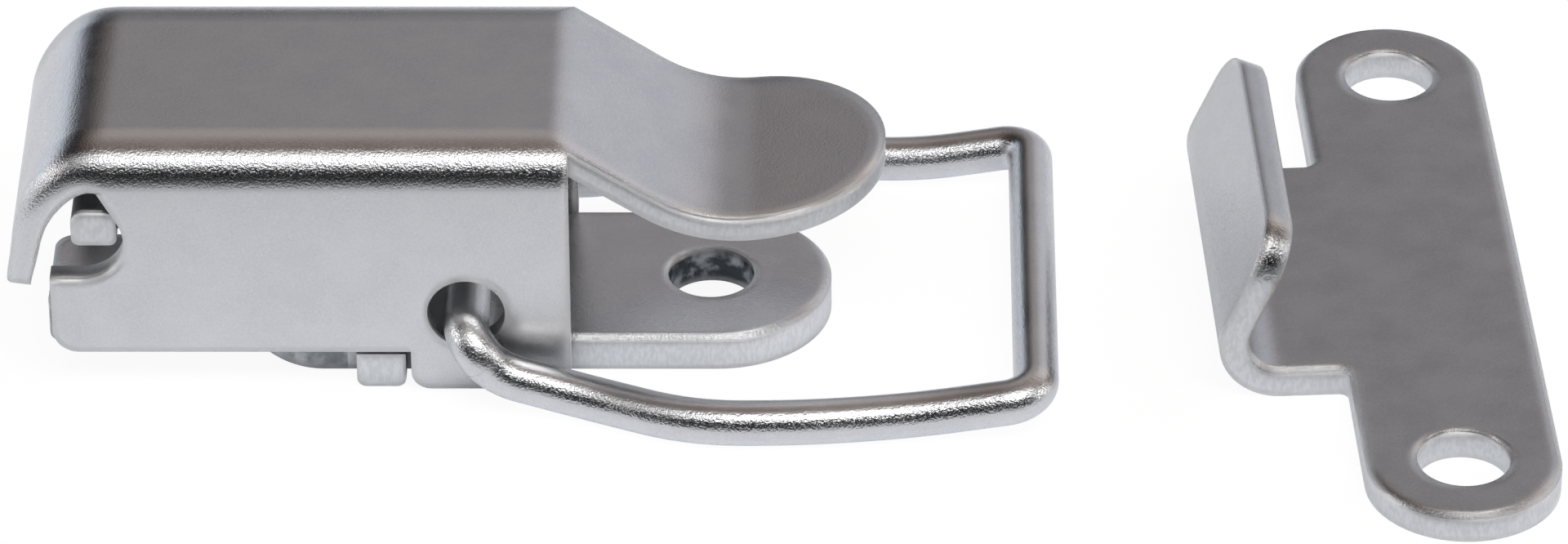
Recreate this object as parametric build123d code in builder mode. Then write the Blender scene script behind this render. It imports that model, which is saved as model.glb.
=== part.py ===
"""Over-centre trunk latch in zinc-plated pressed steel, with the catch plate that its bail hooks.

Millimetres, +Z up. The mounting plane is Z = 0 and the origin is midway between the two base screws.
+X points to the thumb tab of the closed lever, and the Y axis runs along the pivot.
"""

import os
from math import copysign, cos, radians, sin, sqrt, tan

from build123d import *

# Sheet and wire stock
base_sheet = 2.4
lever_sheet = 1.5
catch_sheet = 1.9
wire_d = 2.8

# Clearances
side_gap = 0.8
lance_gap = 0.3
floor_gap = 0.1
stop_gap = 0.35
bail_side_gap = 0.15
bail_end_gap = 0.5
pivot_end_recess = 0.4

# Base plate
screw_spacing = 22.0
base_hole_d = 5.4
hole_to_end = 7.53
leg_width = 2.5
tongue_reach = 17.35
tongue_corner_r = 1.4
riser_to_screw = 7.0
riser_outer_r = 5.0
arm_inner_r = 1.0
base_rim = 0.3

# Pivot bar, at the top of the base plate's portal
pivot_x = -26.67
pivot_z = 11.7
pivot_width = 2.8
pivot_upper_r = 0.8
pivot_lower_r = 0.5

# Stop tabs, on both sides of the base plate
stop_x = -9.3
stop_width = 3.05
stop_corner_r = 0.6

# Lever channel
lever_width = 18.8
lever_top_z = 17.2
lever_bend_r = 2.3
wall_left_x = -29.5
wall_bottom_z = 2.85
wall_right_x = 2.45
wall_corner_r = 1.6
lobe_corner_r = 1.2
lobe_root_r = 0.6

# Notch in the side walls, round the pivot bar
notch_r = 2.75
notch_shift_x = -0.93
notch_shift_z = -0.7
notch_slope = 28.0

# Hood, over the pivot
hood_start_x = -25.95
hood_first_r = 4.8
hood_first_turn = 45.0
hood_second_r = 8.5
hood_second_turn = 37.0
hood_lip = 3.55
hood_lip_width = 17.0
hood_lip_edge_r = 0.4
hood_depth = 2.7
hood_stations = 9

# Thumb tab
thumb_width = 16.1
thumb_bend_x = 2.0
thumb_slope = 34.0
thumb_rise = 6.0
thumb_tip_x = 21.9
thumb_tip_z = 12.64
thumb_lap = 2.5
thumb_convex_r = 2.5
thumb_concave_r = 8.8

# Bail, and its holes in the lever walls
bail_hole_d = 4.8
bail_hole_x = -3.95
bail_hole_z = 5.7
bail_drop = 0.8
bail_reach = 35.1
bail_width = 31.2
bail_belly_width = 32.8
bail_cross_z = 2.7
bail_corner_r = 1.9
bail_end_play = 0.35
bail_knee_x = 1.95
bail_knee_z = 2.55
bail_low_x = 7.35
bail_low_z = 1.43
bail_flare = 0.9
bail_belly_x = 13.9
bail_belly_run = 6.7
bail_waist_x = 27.45

# Catch plate, which lies beside the latch and is turned a little
catch_x = 55.8
catch_y = 2.0
catch_turn = 3.4
catch_spacing = 42.9
catch_hole_d = 5.7
catch_width = 12.0
neck_width = 22.9
neck_root_r = 0.6
hook_reach = 14.05
hook_outer_r = 3.9
hook_lean = 23.4
hook_height = 11.7
hook_corner_r = 3.4
catch_rim = 0.3

# Sizes that follow from the ones above
lever_half = lever_width / 2
notch_top_z = lever_top_z - hood_depth
lever_inner_half = lever_half - lever_sheet
pivot_half = lever_half - pivot_end_recess
plate_half = lever_inner_half - side_gap
window_half = plate_half - leg_width
tongue_half = window_half - lance_gap
screw_x = screw_spacing / 2
riser_x = -screw_x - riser_to_screw
riser_start_x = riser_x + riser_outer_r
arm_bottom_z = pivot_z - base_sheet / 2
window_left_x = pivot_x + pivot_width / 2
plate_end_x = screw_x + hole_to_end - plate_half
lobe_left_x = stop_x + stop_width / 2 + stop_gap
notch_x = pivot_x + notch_shift_x
notch_z = pivot_z + notch_shift_z
wire_r = wire_d / 2
bail_axis_x = bail_hole_x
bail_axis_z = bail_hole_z - bail_drop

os.makedirs("parts", exist_ok=True)


def bent_strip(points, radii, thickness):
    """Side view of a bent sheet that lies to the right of a line through points, with these bend radii."""
    corners = [Vector(*point) for point in points]
    runs = [(end - start).normalized() for start, end in zip(corners, corners[1:])]
    normals = [Vector(run.Y, -run.X) for run in runs]
    turns = [first.cross(second).Z for first, second in zip(runs, runs[1:])]
    shifts = [(first + second) / (1 + first.dot(second)) for first, second in zip(normals, normals[1:])]
    shifts = [normals[0], *shifts, normals[-1]]
    back = [corner + shift * thickness for corner, shift in zip(corners, shifts)]
    back_radii = [radius + copysign(thickness, turn) for radius, turn in zip(radii, turns)]
    with BuildSketch() as strip:
        with BuildLine():
            FilletPolyline(*corners, radius=radii)
            FilletPolyline(*back, radius=back_radii)
            Line(corners[0], back[0])
            Line(corners[-1], back[-1])
        make_face()
    return strip.sketch


def arcs_at(z, radius):
    """Arcs of one radius that lie at one height in the part being built."""
    arcs = edges().filter_by(GeomType.CIRCLE).filter_by(lambda edge: abs(edge.radius - radius) < 1e-3)
    return arcs.filter_by(lambda edge: abs(edge.center().Z - z) < 1e-3)


def bend_radius(before, corner, after):
    """Largest easy bend at a corner of a wire: its arc takes under half of the shorter run beside it."""
    run_in = Vector(corner) - Vector(before)
    run_out = Vector(after) - Vector(corner)
    return 0.45 * min(run_in.length, run_out.length) / tan(radians(run_in.get_angle(run_out)) / 2)


# Base plate: one stamping with a flat tongue, two stop tabs and a portal that carries the pivot bar
with BuildPart() as base_plate:
    with BuildSketch(Plane.XZ):
        add(
            bent_strip(
                [
                    (riser_start_x + base_sheet, 0),
                    (riser_x, 0),
                    (riser_x, arm_bottom_z),
                    (pivot_x, arm_bottom_z),
                ],
                (riser_outer_r, arm_inner_r),
                base_sheet,
            )
        )
    extrude(amount=plate_half, both=True)
    with BuildSketch():
        with Locations(((window_left_x + riser_start_x) / 2 + base_sheet, 0)):
            Rectangle(riser_start_x - window_left_x + 2 * base_sheet, 2 * window_half)
    extrude(amount=lever_top_z, mode=Mode.SUBTRACT)
    with BuildSketch(Plane.XZ):
        with Locations((pivot_x, pivot_z)):
            Rectangle(pivot_width, base_sheet)
        fillet(vertices().group_by(Axis.Y)[-1], pivot_upper_r)
        fillet(vertices().group_by(Axis.Y)[0], pivot_lower_r)
    extrude(amount=pivot_half, both=True)
    with BuildSketch():
        with Locations(((riser_start_x + plate_end_x) / 2, 0)):
            Rectangle(plate_end_x - riser_start_x, 2 * plate_half)
        with Locations((plate_end_x, 0)):
            Circle(plate_half)
        with Locations((riser_start_x - tongue_reach / 2, 0)):
            RectangleRounded(tongue_reach, 2 * tongue_half, tongue_corner_r)
        with Locations((riser_start_x, 0)):
            Rectangle(2 * tongue_corner_r, 2 * tongue_half)
    extrude(amount=base_sheet)
    with BuildSketch(Plane.XZ):
        with Locations((stop_x, base_sheet / 2)):
            Rectangle(stop_width, base_sheet)
        fillet(vertices().group_by(Axis.Y)[0], stop_corner_r)
    extrude(amount=pivot_half, both=True)
    with Locations((screw_x, 0, base_sheet), (-screw_x, 0, base_sheet)):
        Hole(base_hole_d / 2)
    chamfer(arcs_at(base_sheet, plate_half), base_rim)
base_plate.part.label = "base_plate"
export_step(base_plate.part, "parts/base_plate.step")


# Lever: one stamping, a channel with a hood at the pivot and a thumb tab at the other end
with BuildPart() as channel:
    with BuildSketch(Plane.YZ.offset(wall_left_x)):
        add(
            bent_strip(
                [
                    (-lever_half, floor_gap),
                    (-lever_half, lever_top_z),
                    (lever_half, lever_top_z),
                    (lever_half, floor_gap),
                ],
                (lever_bend_r, lever_bend_r),
                lever_sheet,
            )
        )
    extrude(amount=wall_right_x - wall_left_x)
    with BuildSketch(Plane.XZ) as wall_outline:
        with BuildLine():
            Polyline(
                (wall_left_x, wall_bottom_z),
                (lobe_left_x, wall_bottom_z),
                (lobe_left_x, floor_gap),
                (wall_right_x, floor_gap),
                (wall_right_x, lever_top_z),
                (hood_start_x, lever_top_z),
                (hood_start_x, notch_top_z),
                (wall_left_x, notch_top_z),
                close=True,
            )
        make_face()
        lower = vertices().filter_by(lambda v: v.Y < wall_bottom_z + 1e-3).sort_by(Axis.X)
        fillet(lower[0], wall_corner_r)
        fillet(lower.filter_by(lambda v: abs(v.X - lobe_left_x) < 1e-3).sort_by(Axis.Y)[-1], lobe_root_r)
        fillet(vertices().group_by(Axis.Y)[0], lobe_corner_r)
        tangent = (
            notch_x + notch_r * cos(radians(notch_slope)),
            notch_z + notch_r * sin(radians(notch_slope)),
        )
        with BuildLine():
            Polyline(
                tangent,
                (tangent[0] - (notch_top_z - tangent[1]) * tan(radians(notch_slope)), notch_top_z),
                (wall_left_x - notch_r, notch_top_z),
                (wall_left_x - notch_r, notch_z - notch_r),
                (notch_x, notch_z - notch_r),
                (notch_x, notch_z),
                close=True,
            )
        make_face(mode=Mode.SUBTRACT)
        with Locations((notch_x, notch_z)):
            Circle(notch_r, mode=Mode.SUBTRACT)
        with Locations((bail_hole_x, bail_hole_z)):
            Circle(bail_hole_d / 2, mode=Mode.SUBTRACT)
    extrude(amount=lever_half, both=True, mode=Mode.INTERSECT)

first_arc = JernArc((hood_start_x, lever_top_z), (-1, 0), hood_first_r, hood_first_turn)
second_arc = JernArc(first_arc @ 1, first_arc % 1, hood_second_r, hood_second_turn)
lip_line = Line(second_arc @ 1, (second_arc @ 1) + (second_arc % 1) * hood_lip)
hood_line = Wire([first_arc.edge(), second_arc.edge(), lip_line.edge()])

with BuildPart() as hood:
    for station in range(hood_stations):
        share = station / (hood_stations - 1)
        here = hood_line @ share
        along = hood_line % share
        half = lever_half + (hood_lip_width / 2 - lever_half) * share
        edge_r = lever_bend_r + (hood_lip_edge_r - lever_bend_r) * share
        depth = hood_depth * (1 - share) + lever_sheet * share
        with BuildSketch(Plane((here.X, 0, here.Y), x_dir=(0, 1, 0), z_dir=(along.X, 0, along.Y))):
            with Locations((0, depth / 2)):
                Rectangle(2 * half, depth)
            fillet(vertices().group_by(Axis.Y)[0], edge_r)
    loft()
    with BuildSketch(Plane.XZ):
        with BuildLine():
            inner = offset(hood_line, amount=lever_sheet, side=Side.LEFT, closed=False)
            ends = inner.vertices().sort_by(Axis.Y)
            Polyline(ends[0], (hood_start_x, ends[0].Y), ends[-1])
        make_face()
    extrude(amount=lever_inner_half, both=True, mode=Mode.SUBTRACT)

rise = tan(radians(thumb_rise))
fall = tan(radians(thumb_slope))
valley_x = (lever_top_z + thumb_bend_x * fall - thumb_tip_z + thumb_tip_x * rise) / (fall + rise)
thumb_line = [
    (wall_right_x - thumb_lap, lever_top_z),
    (thumb_bend_x, lever_top_z),
    (valley_x, thumb_tip_z - (thumb_tip_x - valley_x) * rise),
    (thumb_tip_x + lever_sheet, thumb_tip_z + lever_sheet * rise),
]
bend_start_x = thumb_bend_x - thumb_convex_r * tan(radians(thumb_slope) / 2)
root_drop = thumb_convex_r - sqrt(thumb_convex_r**2 - (wall_right_x - bend_start_x) ** 2)
bend_center_y = lever_half - lever_bend_r
thumb_root_half = bend_center_y + sqrt(lever_bend_r**2 - (lever_bend_r - root_drop) ** 2)

with BuildPart() as thumb:
    with BuildSketch(Plane.XZ):
        add(bent_strip(thumb_line, (thumb_convex_r, thumb_concave_r), lever_sheet))
    extrude(amount=lever_half, both=True)
    with BuildSketch():
        with Locations((thumb_tip_x - thumb_width / 2, 0)):
            Circle(thumb_width / 2)
        with Locations((wall_right_x + lever_sheet / 2, 0)):
            Rectangle(lever_sheet, 2 * thumb_root_half)
        make_hull()
        with Locations((wall_right_x - thumb_lap / 2, 0)):
            Rectangle(thumb_lap, 2 * bend_center_y)
    extrude(amount=lever_top_z, mode=Mode.INTERSECT)

with BuildPart() as thumb_waste:
    with BuildSketch(Plane.XZ):
        with BuildLine():
            top_line = FilletPolyline(*thumb_line, radius=(thumb_convex_r, thumb_concave_r))
            Polyline(
                thumb_line[-1], (thumb_line[-1][0], lever_top_z + lever_sheet),
                (thumb_line[0][0], lever_top_z + lever_sheet), thumb_line[0]
            )
        make_face()
    extrude(amount=lever_half, both=True)

with BuildPart() as lever:
    add(channel.part)
    add(thumb_waste.part, mode=Mode.SUBTRACT)
    add(hood.part)
    add(thumb.part)
lever.part.label = "lever"
export_step(lever.part, "parts/lever.step")


# Bail: one length of wire, whose two ends lie in the lever's holes
shoulder_y = lever_half + bail_side_gap + wire_r + bail_end_play
belly_y = bail_belly_width / 2 - wire_r
leg_y = bail_width / 2 - wire_r
near_leg = [
    (bail_axis_x, -bail_end_gap / 2, bail_axis_z),
    (bail_axis_x, -shoulder_y, bail_axis_z),
    (bail_axis_x + bail_knee_x, -shoulder_y, bail_knee_z),
    (bail_axis_x + bail_low_x, -shoulder_y - bail_flare, bail_low_z),
    (bail_axis_x + bail_belly_x, -belly_y, bail_low_z),
    (bail_axis_x + bail_belly_x + bail_belly_run, -belly_y, bail_low_z),
    (bail_axis_x + bail_waist_x, -leg_y, bail_low_z),
    (bail_axis_x + bail_reach, -leg_y, bail_cross_z),
]
bends = [bend_radius(*corners) for corners in zip(near_leg[1:-2], near_leg[2:-1], near_leg[3:])]
near_radii = [bail_corner_r, *bends, bail_corner_r]
far_leg = [(x, -y, z) for x, y, z in reversed(near_leg)]

with BuildPart() as bail:
    with BuildLine() as bail_line:
        FilletPolyline(*near_leg, *far_leg, radius=near_radii + near_radii[::-1])
    with BuildSketch(Plane(near_leg[0], x_dir=(1, 0, 0), z_dir=(0, -1, 0))):
        Circle(wire_r)
    sweep(path=bail_line.line)
bail.part.label = "bail"
export_step(bail.part, "parts/bail.step")


# Catch plate: one stamping, a two-hole strip with a hook that leans back over it
catch_plane = Plane(
    (catch_x, catch_y, 0), x_dir=(cos(radians(catch_turn)), sin(radians(catch_turn)), 0), z_dir=(0, 0, 1)
)
hook_side = Plane(catch_plane.origin, x_dir=catch_plane.x_dir, z_dir=-catch_plane.y_dir)
lean = radians(hook_lean)
hook_foot_x = -hook_reach + hook_outer_r * (1 - tan(radians(90 + hook_lean) / 2))
tip_along = hook_height / cos(lean)

with BuildPart() as catch_plate:
    with BuildSketch(hook_side):
        add(
            bent_strip(
                [
                    (-catch_width / 2, 0),
                    (hook_foot_x, 0),
                    (hook_foot_x + tip_along * sin(lean), hook_height),
                ],
                (hook_outer_r,),
                catch_sheet,
            )
        )
    extrude(amount=neck_width / 2, both=True)
    tip_face = faces().sort_by(Axis.Z)[-1]
    fillet(tip_face.edges().sort_by(SortBy.LENGTH)[:2], hook_corner_r)
    with BuildSketch(catch_plane):
        SlotCenterToCenter(catch_spacing, catch_width, rotation=90)
        with Locations((-catch_width / 2, 0)):
            Rectangle(catch_width / 2, neck_width)
        fillet(vertices().filter_by(lambda v: abs(v.X + catch_width / 2) < 1e-3), neck_root_r)
        with Locations((0, catch_spacing / 2), (0, -catch_spacing / 2)):
            Circle(catch_hole_d / 2, mode=Mode.SUBTRACT)
    extrude(amount=catch_sheet)
    chamfer(arcs_at(catch_sheet, catch_width / 2), catch_rim)
catch_plate.part.label = "catch_plate"
export_step(catch_plate.part, "parts/catch_plate.step")
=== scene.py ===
"""Looks of the trunk latch: bright zinc plating on pressed steel and wire, on a plain white floor."""

from math import cos, pi, radians, sin

import bpy
from mathutils import Matrix, Vector

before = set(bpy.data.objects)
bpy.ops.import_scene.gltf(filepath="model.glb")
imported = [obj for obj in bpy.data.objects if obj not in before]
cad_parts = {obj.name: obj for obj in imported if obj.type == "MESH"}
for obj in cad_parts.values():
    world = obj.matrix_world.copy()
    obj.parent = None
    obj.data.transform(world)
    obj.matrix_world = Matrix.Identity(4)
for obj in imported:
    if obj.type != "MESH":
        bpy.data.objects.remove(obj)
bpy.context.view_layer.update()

# Photograph's frame and the camera that fits it
image_width = 1920
image_center = (960.0, 333.0)
focal_px = 11063.7
sensor_width = 36.0
camera_elevation = radians(34.114)
camera_azimuth = radians(-0.65)
camera_roll = radians(0.339)
clip_near = 0.02
clip_far = 20.0
aim_point = Vector((0.011, 0.0, 0.0))
aim_pixel = (871.5, 372.6)
aim_px_per_m = 19500.0

# Floor, in metres
floor_half = 1.5
floor_front = -0.040
floor_fade = 0.006
floor_drop = 0.00005

# Light levels, where 1 is white
studio_strength = 1.9
mirrored_glow = 0.33
seen_glow = 0.92
seen_shade = (0.16, 0.16, 0.16, 1.0)
white = (1.0, 1.0, 1.0, 1.0)
pale_paper = (0.84, 0.865, 0.905, 1.0)
past_paper = (0.008, 0.008, 0.008, 1.0)

# Plating: features a metre, heights in metres, and how much a bend changes them
cloud_scale = 350.0
cloud_detail = 3.0
grain_scale = 7000.0
grain_detail = 2.0
grain_height = 0.00003
flat_bump = 0.3
bend_bump = 4.6
bend_gloss = -0.45
rough_spread = 0.05
# Lighter colour of the edges: partly wear, partly a painted highlight
worn_highlight_color = (0.95, 0.94, 0.93, 1.0)

# Sheared faces, whose tear marks run up and down
tear_scale = 4500.0
tear_detail = 4.0
tear_stretch = (1.0, 1.0, 0.4)
tear_height = 1.6
tear_rough = 0.12
tear_share = 0.6

# Painted shade: dark patches on faces that lie in shade, in the screw holes and under the lever
shade_patch_scale = 1000.0
shade_patch_detail = 4.0

# Edges, and the reach of the painted shade in corners, in metres, and the rays that find them
thick_rim = 0.0010
base_rim = 0.0008
painted_shade_reach = 0.003
ray_count = 4

# Places on the base plate, in metres
plate_top = 0.00245
bar_bottom = 0.0100
screw_x = 0.011
bore_r = 0.0028
# Where the painted shadow under the lever begins, and how strong it is
under_lever_x = -0.0115
under_lever_shadow_share = 0.7

# Places on the lever, in metres
tab_start_x = 0.0025
wall_inner_y = 0.00785
wall_top = 0.0146
tab_round_x = 0.01385
tab_blend_x = (0.001, 0.006)
tab_shift = 0.0010
shoulder_y = (0.0059, 0.0079)
shoulder_height = 0.00017

# Place on the catch plate, in metres
strip_top = 0.00185

# Faces are told apart by how much of their normal lies along an axis
along_y = 0.9
partly_along_y = 0.4
off_axis = 0.5
off_axis_tab = 0.45
off_axis_strip = 0.35


def nodes_of(owner):
    """Empty node tree of a material or a world."""
    owner.use_nodes = True
    owner.node_tree.nodes.clear()
    return owner.node_tree


def add(tree, kind, values=None, **settings):
    """A node with its settings, and its inputs set to numbers or linked to other nodes' outputs."""
    node = tree.nodes.new(kind)
    for key, value in settings.items():
        setattr(node, key, value)
    for key, value in (values or {}).items():
        if isinstance(value, bpy.types.NodeSocket):
            tree.links.new(value, node.inputs[key])
        else:
            node.inputs[key].default_value = value
    return node


def compute(tree, operation, *values):
    """Output of a Math node."""
    return add(tree, "ShaderNodeMath", dict(enumerate(values)), operation=operation).outputs[0]


def split(tree, vector):
    """X, Y and Z outputs of a vector."""
    return add(tree, "ShaderNodeSeparateXYZ", {0: vector}).outputs


def remap(tree, value, low, high, new_low=0.0, new_high=1.0, interpolation="LINEAR"):
    """A value carried from one range to another, and held at its ends."""
    inputs = {0: value, 1: low, 2: high, 3: new_low, 4: new_high}
    return add(tree, "ShaderNodeMapRange", inputs, interpolation_type=interpolation).outputs[0]


def mix(tree, factor, first, second, blend_type="MIX"):
    """Colour between two colours or outputs, or their product where blend_type says MULTIPLY."""
    inputs = {0: factor, 6: first, 7: second}
    return add(tree, "ShaderNodeMix", inputs, data_type="RGBA", blend_type=blend_type).outputs[2]


def ramp(tree, factor, stops):
    """Colour output of a Color Ramp with (position, colour) stops, where one number stands for a grey."""
    node = add(tree, "ShaderNodeValToRGB", {"Fac": factor})
    node.color_ramp.interpolation = "EASE"
    elements = node.color_ramp.elements
    while len(elements) < len(stops):
        elements.new(0.5)
    for element, (position, color) in zip(elements, stops):
        element.position = position
        element.color = (*color, 1.0) if len(color) == 3 else (color[0],) * 3 + (1.0,)
    return node.outputs["Color"]


def noise(tree, place, scale, detail):
    """Factor of a Noise texture, whose scale is in features a metre."""
    return add(tree, "ShaderNodeTexNoise", {"Vector": place, "Scale": scale, "Detail": detail}).outputs["Fac"]


def make_camera():
    """Camera at the photograph's viewing angle, distance and frame."""
    forward = Vector((
        sin(camera_azimuth) * cos(camera_elevation),
        cos(camera_azimuth) * cos(camera_elevation),
        -sin(camera_elevation),
    ))
    level = Vector((cos(camera_azimuth), -sin(camera_azimuth), 0.0))
    down = forward.cross(level)
    right = level * cos(camera_roll) + down * sin(camera_roll)
    down = down * cos(camera_roll) - level * sin(camera_roll)
    distance = focal_px / aim_px_per_m
    aim_right = (aim_pixel[0] - image_center[0]) / aim_px_per_m
    aim_down = (aim_pixel[1] - image_center[1]) / aim_px_per_m
    place = aim_point - right * aim_right - down * aim_down - forward * distance
    camera = bpy.data.objects.new("camera", bpy.data.cameras.new("camera"))
    camera.data.sensor_fit = "HORIZONTAL"
    camera.data.sensor_width = sensor_width
    camera.data.lens = focal_px / image_width * sensor_width
    camera.data.clip_start = clip_near
    camera.data.clip_end = clip_far
    axes = Matrix((right, -down, -forward)).transposed()
    camera.matrix_world = Matrix.Translation(place) @ axes.to_4x4()
    bpy.context.scene.collection.objects.link(camera)
    bpy.context.scene.camera = camera


def make_world():
    """Soft studio with a broad light over the camera and a dim room behind the latch. It is seen as white."""
    world = bpy.data.worlds.new("studio")
    bpy.context.scene.world = world
    tree = nodes_of(world)
    x, y, z = split(tree, add(tree, "ShaderNodeTexCoord").outputs["Generated"])
    # Height of a direction from the horizon behind, over the top, to the one in front, 0 to 1
    turn = compute(tree, "DIVIDE", compute(tree, "ARCTAN2", z, y), pi)
    over = ramp(tree, turn, [
        (0.00, (0.110, 0.114, 0.120)),
        (0.20, (0.142, 0.138, 0.146)),
        (0.28, (0.250, 0.225, 0.210)),
        (0.37, (0.100, 0.082, 0.072)),
        (0.56, (0.100, 0.078, 0.066)),
        (0.64, (1.7,)),
        (0.70, (1.9,)),
        (0.76, (0.005,)),
    ])
    # Along the broad light, from the left at 0 to the right at 1, with a pale wall past each end
    along_light = ramp(tree, compute(tree, "MULTIPLY_ADD", x, 0.5, 0.5), [
        (0.03, (1.6,)),
        (0.10, (0.10,)),
        (0.24, (0.28,)),
        (0.38, (0.28,)),
        (0.45, (1.0,)),
        (0.72, (1.0,)),
        (0.80, (0.35,)),
        (0.90, (0.12,)),
        (0.97, (1.6,)),
    ])
    # Round the view from behind: 0 at the left horizon, 0.5 overhead, 1 at the right horizon
    round_back = compute(tree, "MULTIPLY_ADD", compute(tree, "ARCTAN2", x, z), 1.0 / pi, 0.5)
    back = ramp(tree, round_back, [
        (0.04, (3.1, 3.3, 3.5)),
        (0.12, (3.1, 3.3, 3.5)),
        (0.17, (0.01,)),
        (0.31, (0.01, 0.008, 0.007)),
        (0.40, (0.50, 0.43, 0.38)),
        (0.445, (1.16,)),
        (0.54, (0.86,)),
        (0.65, (1.80, 1.82, 1.84)),
        (0.86, (2.25, 2.3, 2.35)),
    ])
    front = remap(tree, turn, 0.36, 0.52)
    room = mix(tree, 1.0, over, mix(tree, front, back, along_light), "MULTIPLY")
    studio = add(tree, "ShaderNodeBackground", {"Color": room, "Strength": studio_strength})
    plain = add(tree, "ShaderNodeBackground", {"Color": white, "Strength": 1.0})
    path = add(tree, "ShaderNodeLightPath").outputs
    seen = compute(tree, "MAXIMUM", path["Is Camera Ray"], path["Is Transmission Ray"])
    both = add(tree, "ShaderNodeMixShader", {0: seen, 1: studio.outputs[0], 2: plain.outputs[0]})
    add(tree, "ShaderNodeOutputWorld", {"Surface": both.outputs[0]})


def lit_paper(tree, color, glow_color, glow):
    """Shader of a floor that takes shadows and glows a little."""
    shaded = add(tree, "ShaderNodeBsdfDiffuse", {"Color": color})
    glowing = add(tree, "ShaderNodeEmission", {"Color": glow_color, "Strength": glow})
    return add(tree, "ShaderNodeAddShader", {0: shaded.outputs[0], 1: glowing.outputs[0]}).outputs[0]


def make_floor():
    """White floor under the mounting plane. In the metal it ends close in front, as a sheet of paper does."""
    mesh = bpy.data.meshes.new("floor")
    corners = [(-1, -1), (1, -1), (1, 1), (-1, 1)]
    mesh.from_pydata([(x * floor_half, y * floor_half, 0.0) for x, y in corners], [], [(0, 1, 2, 3)])
    floor = bpy.data.objects.new("floor", mesh)
    floor.location.z = -floor_drop
    bpy.context.scene.collection.objects.link(floor)
    material = bpy.data.materials.new("floor")
    tree = nodes_of(material)
    y = split(tree, add(tree, "ShaderNodeTexCoord").outputs["Object"])[1]
    paper = remap(tree, y, floor_front - floor_fade, floor_front, 0.05, 1.0)
    pale = mix(tree, paper, past_paper, pale_paper)
    mirrored = lit_paper(tree, pale, pale, mirrored_glow)
    bright = lit_paper(tree, seen_shade, white, seen_glow)
    seen = add(tree, "ShaderNodeLightPath").outputs["Is Camera Ray"]
    both = add(tree, "ShaderNodeMixShader", {0: seen, 1: mirrored, 2: bright})
    add(tree, "ShaderNodeOutputMaterial", {"Surface": both.outputs[0]})
    mesh.materials.append(material)


def zinc(name, rough, tone=1.0, rim=None, cut=None, corner_shade_reach=None, painted_shade=None, shoulder=None):
    """Bright zinc plating with a fine orange peel.

    The radius of the rounded edges is rim, in metres; their lighter colour is partly wear and partly a
    painted highlight.
    The mask of the sheared faces is cut, and shoulder is a height. The two shade arguments paint shade into
    the colour:
    the reach in metres of a painted shade in corners, and the mask of a painted shade in screw holes and
    under the lever.
    """
    material = bpy.data.materials.new(name)
    tree = nodes_of(material)
    coordinates = add(tree, "ShaderNodeTexCoord").outputs
    place = coordinates["Object"]
    cloud = noise(tree, place, cloud_scale, cloud_detail)
    grain = noise(tree, place, grain_scale, grain_detail)
    mottle = compute(tree, "MULTIPLY", compute(tree, "ADD", cloud, grain), 0.5)
    color = ramp(tree, mottle, [
        (0.3, (0.74 * tone, 0.74 * tone, 0.755 * tone)),
        (0.7, (0.84 * tone, 0.84 * tone, 0.85 * tone)),
    ])
    # Stretched metal along a bend is coarser and shinier than a flat sheet
    facing = split(tree, coordinates["Normal"])[2]
    squared = compute(tree, "MULTIPLY", facing, facing)
    bent = compute(tree, "SUBTRACT", compute(tree, "ABSOLUTE", facing), squared)
    coarse = compute(tree, "MULTIPLY_ADD", bent, bend_bump, flat_bump)
    spread = remap(tree, cloud, 0.3, 0.7, rough, rough + rough_spread)
    roughness = compute(tree, "MULTIPLY_ADD", bent, bend_gloss, spread)
    height = grain
    bump = add(tree, "ShaderNodeBump", {"Strength": coarse, "Distance": grain_height})
    if cut:
        sheared = cut(tree)
        streaks = add(tree, "ShaderNodeMapping", {"Vector": place, "Scale": tear_stretch}).outputs[0]
        tear = noise(tree, streaks, tear_scale, tear_detail)
        height = compute(tree, "MULTIPLY_ADD", compute(tree, "MULTIPLY", tear, tear_height), sheared, grain)
        roughness = compute(tree, "MULTIPLY_ADD", sheared, tear_rough, roughness)
        torn = ramp(tree, tear, [(0.4, (0.78, 0.79, 0.80)), (0.6, (0.92, 0.93, 0.94))])
        color = mix(tree, compute(tree, "MULTIPLY", sheared, tear_share), color, torn)
    # Painted shade: dark patches painted into the colour in the screw holes and on the edge under the lever
    if painted_shade:
        patches = noise(tree, place, shade_patch_scale, shade_patch_detail)
        painted_dark = ramp(tree, patches, [(0.42, (0.09, 0.10, 0.11)), (0.72, (0.60, 0.61, 0.63))])
        color = mix(tree, painted_shade(tree), color, painted_dark)
    # Edges rounded in shading and lighter in colour: partly wear, partly a painted highlight
    if rim:
        rounded = add(tree, "ShaderNodeBevel", {"Radius": rim}, samples=ray_count).outputs[0]
        flat = add(tree, "ShaderNodeNewGeometry").outputs["True Normal"]
        agreed = add(tree, "ShaderNodeVectorMath", {0: rounded, 1: flat}, operation="DOT_PRODUCT")
        worn_and_highlit = remap(tree, agreed.outputs["Value"], 0.985, 0.88)
        color = mix(tree, worn_and_highlit, color, worn_highlight_color)
        if shoulder:
            inputs = {"Height": shoulder(tree), "Distance": shoulder_height, "Normal": rounded}
            rounded = add(tree, "ShaderNodeBump", inputs).outputs[0]
        tree.links.new(rounded, bump.inputs["Normal"])
    # Painted shade: the colour darkens where ambient occlusion finds nearby surfaces, in corners and under
    # parts
    if corner_shade_reach:
        shade_occlusion = add(tree, "ShaderNodeAmbientOcclusion", {"Distance": corner_shade_reach}, samples=ray_count)
        color = mix(tree, 1.0, color, remap(tree, shade_occlusion.outputs["AO"], 0.1, 0.55, 0.2, 1.0), "MULTIPLY")
    tree.links.new(height, bump.inputs["Height"])
    surface = add(tree, "ShaderNodeBsdfPrincipled", {
        "Base Color": color, "Metallic": 1.0, "Roughness": roughness, "Normal": bump.outputs[0],
    })
    add(tree, "ShaderNodeOutputMaterial", {"Surface": surface.outputs[0]})
    return material


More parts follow.
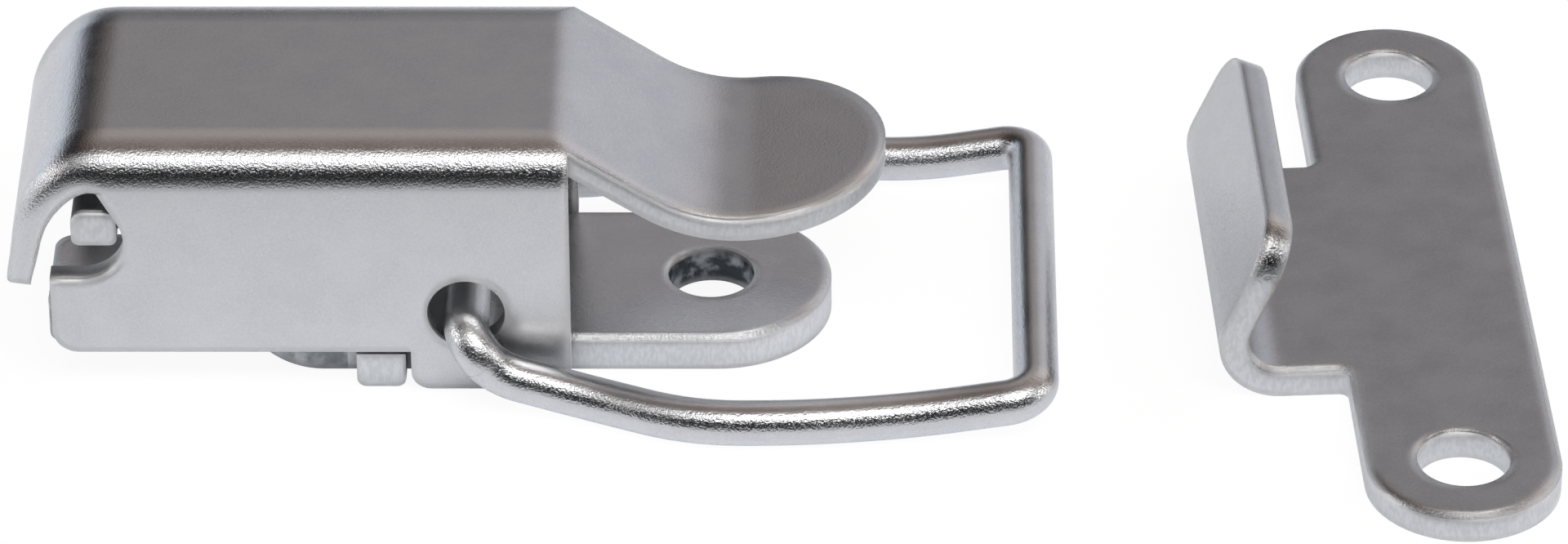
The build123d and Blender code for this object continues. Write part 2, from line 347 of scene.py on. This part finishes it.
def place_and_facing(tree):
    """X, Y and Z of the place, and how much of the face's normal lies along each, in the part's own axes."""
    coordinates = add(tree, "ShaderNodeTexCoord").outputs
    facing = [compute(tree, "ABSOLUTE", value) for value in split(tree, coordinates["Normal"])]
    return split(tree, coordinates["Object"]), facing


def below(tree, value, limit):
    """Mask of where a value is under a limit."""
    return compute(tree, "LESS_THAN", value, limit)


def above(tree, value, limit):
    """Mask of where a value is over a limit."""
    return compute(tree, "GREATER_THAN", value, limit)


def all_of(tree, *masks):
    """Product of masks."""
    product = masks[0]
    for mask in masks[1:]:
        product = compute(tree, "MULTIPLY", product, mask)
    return product


def sum_of_squares(tree, first, second):
    """Sum of two squared values."""
    return compute(tree, "MULTIPLY_ADD", first, first, compute(tree, "MULTIPLY", second, second))


def base_cut(tree):
    """Upright faces of the flat plate, and the ends of the pivot bar."""
    place, facing = place_and_facing(tree)
    plate = all_of(tree, below(tree, place[2], plate_top), below(tree, facing[2], off_axis))
    ends = all_of(tree, above(tree, place[2], bar_bottom), above(tree, facing[1], along_y))
    return compute(tree, "MAXIMUM", plate, ends)


def base_painted_shade(tree):
    """Mask of painted shade: the walls of the two screw holes and the edge under the lever, which lie in
    shade.
    """
    place, facing = place_and_facing(tree)
    from_screw = compute(tree, "SUBTRACT", compute(tree, "ABSOLUTE", place[0]), screw_x)
    bores = below(tree, sum_of_squares(tree, from_screw, place[1]), bore_r ** 2)
    # Painted shadow on the edge of the plate under the lever
    edge = all_of(tree, below(tree, place[0], under_lever_x), above(tree, facing[1], partly_along_y))
    painted_shade = compute(tree, "MAXIMUM", bores, compute(tree, "MULTIPLY", edge, under_lever_shadow_share))
    return all_of(tree, painted_shade, below(tree, place[2], plate_top), below(tree, facing[2], off_axis))


def lever_cut(tree):
    """Rim of the thumb tab, and the edges of the side walls with their notches and holes."""
    place, facing = place_and_facing(tree)
    tab = all_of(tree, above(tree, place[0], tab_start_x), below(tree, facing[2], off_axis_tab))
    in_wall = above(tree, compute(tree, "ABSOLUTE", place[1]), wall_inner_y)
    walls = all_of(tree, in_wall, below(tree, facing[1], off_axis), below(tree, place[2], wall_top))
    return compute(tree, "MAXIMUM", tab, walls)


def lever_shoulder(tree):
    """Height that eases the flat top into the channel's bends, and into the edge of the thumb tab."""
    x, y, _ = place_and_facing(tree)[0]
    past_round = compute(tree, "MAXIMUM", compute(tree, "SUBTRACT", x, tab_round_x), 0.0)
    outward = compute(tree, "SQRT", sum_of_squares(tree, past_round, y))
    shift = remap(tree, x, *tab_blend_x, 0.0, tab_shift)
    return remap(tree, compute(tree, "SUBTRACT", outward, shift), *shoulder_y, 1.0, 0.0, "SMOOTHSTEP")


def catch_cut(tree):
    """Upright faces of the strip, and the two sides of the hook."""
    place, facing = place_and_facing(tree)
    strip = all_of(tree, below(tree, place[2], strip_top), below(tree, facing[2], off_axis_strip))
    return compute(tree, "MAXIMUM", strip, above(tree, facing[1], along_y))


finishes = {
    "base_plate": zinc(
        "base_plate_zinc", rough=0.24, tone=0.97, rim=base_rim, cut=base_cut, corner_shade_reach=painted_shade_reach,
        painted_shade=base_painted_shade,
    ),
    "lever": zinc(
        "lever_zinc", rough=0.26, tone=0.96, rim=thick_rim, cut=lever_cut, corner_shade_reach=painted_shade_reach,
        shoulder=lever_shoulder,
    ),
    "bail": zinc("bail_zinc", rough=0.32),
    "catch_plate": zinc("catch_plate_zinc", rough=0.24, tone=0.79, rim=thick_rim, cut=catch_cut),
}
for node_name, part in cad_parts.items():
    for number in range(len(part.data.materials)):
        part.data.materials[number] = finishes[node_name]

make_camera()
make_world()
make_floor()

bpy.context.scene.view_settings.view_transform = "Standard"
